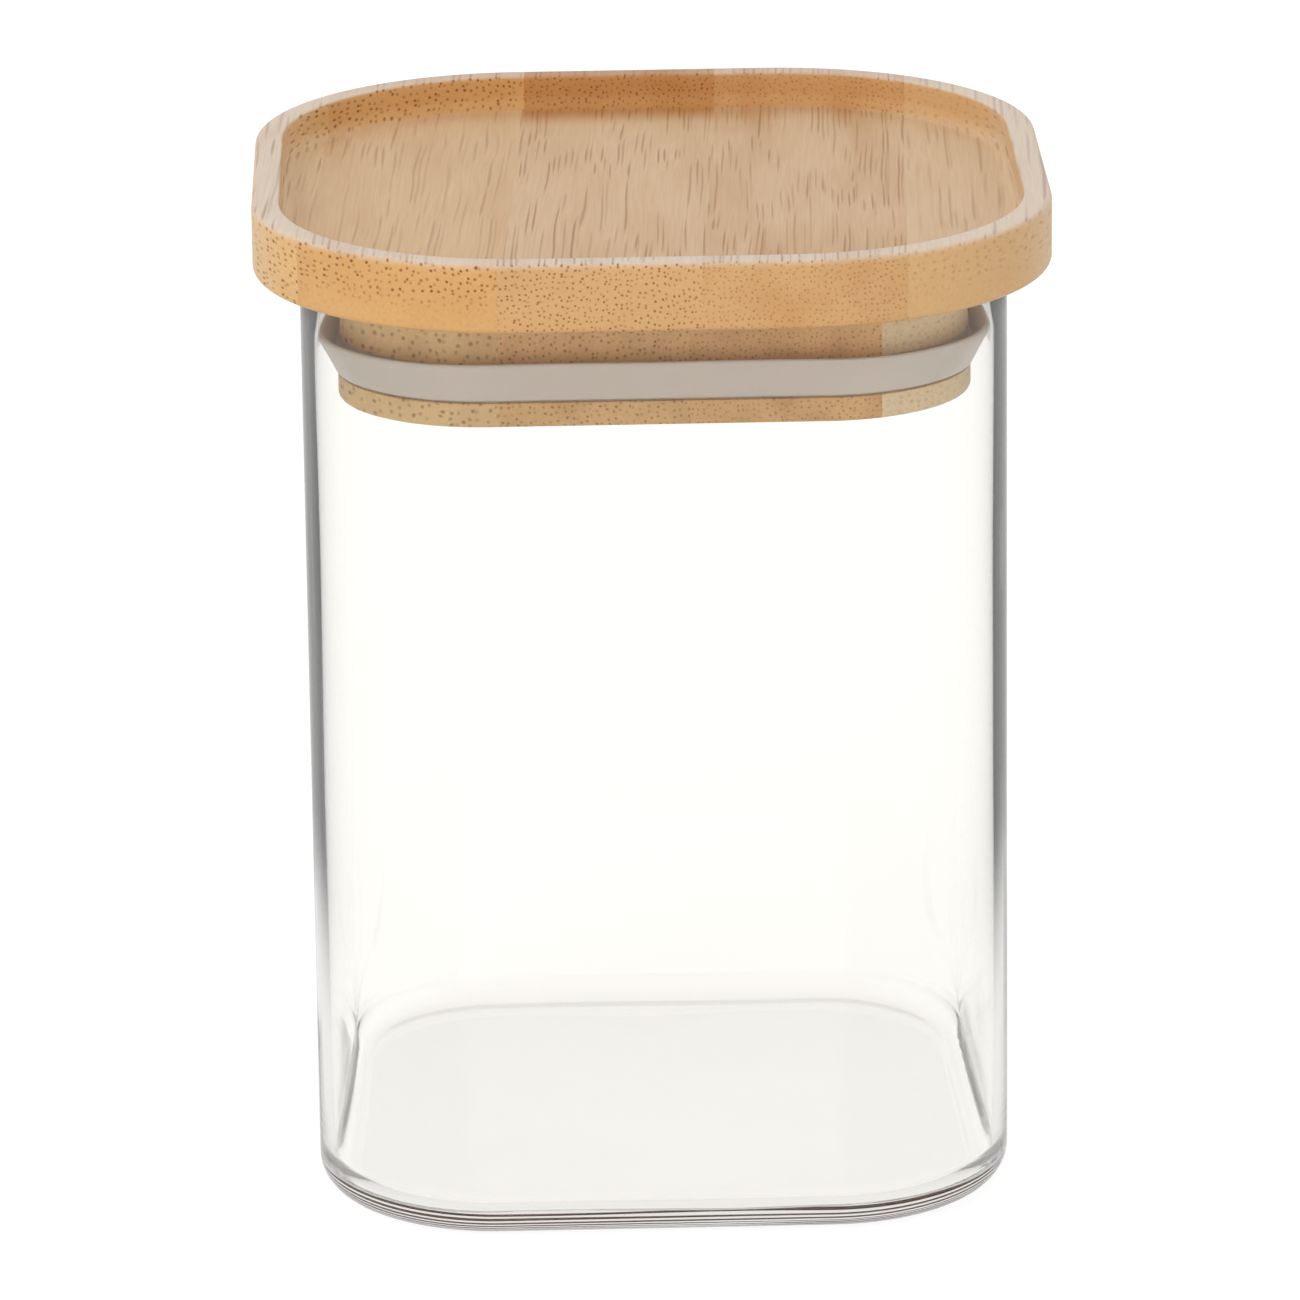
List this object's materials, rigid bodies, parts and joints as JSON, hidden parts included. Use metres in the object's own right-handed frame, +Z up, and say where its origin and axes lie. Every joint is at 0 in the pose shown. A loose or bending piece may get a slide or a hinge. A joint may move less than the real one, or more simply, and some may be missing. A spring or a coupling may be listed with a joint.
{
  "type": "spice jar",
  "caption": "Square clear-glass spice jar with rounded corners, closed by a push-in bamboo lid that has a silicone gasket below and a shallow stacking tray on top.",
  "frame": {"origin": "centre of the flat face that the jar stands on", "axes": "+Z up through the mouth, +X to the right and -Y to the front as the picture shows the jar, both square to its flat sides"},
  "size_m": [0.08, 0.08, 0.103],
  "materials": {
    "glass": "clear blown glass, smooth, with a fire-polished rim",
    "bamboo": "laminated bamboo, sanded, thinly oiled, satin",
    "silicone": "moulded translucent silicone, satin"
  },
  "bodies": {
    "jar": {"glass_jar": "glass"},
    "lid": {"lid_strip_1": "bamboo", "lid_strip_2": "bamboo", "lid_strip_3": "bamboo", "lid_strip_4": "bamboo", "lid_strip_5": "bamboo", "plug_strip_1": "bamboo", "plug_strip_2": "bamboo", "plug_strip_3": "bamboo", "plug_strip_4": "bamboo", "gasket": "silicone"}
  },
  "joints": [
    {"name": "lid_lift", "type": "slide", "parent": "jar", "child": "lid", "axis": [0, 0, 1], "range_m": [0, 0.04]}
  ]
}
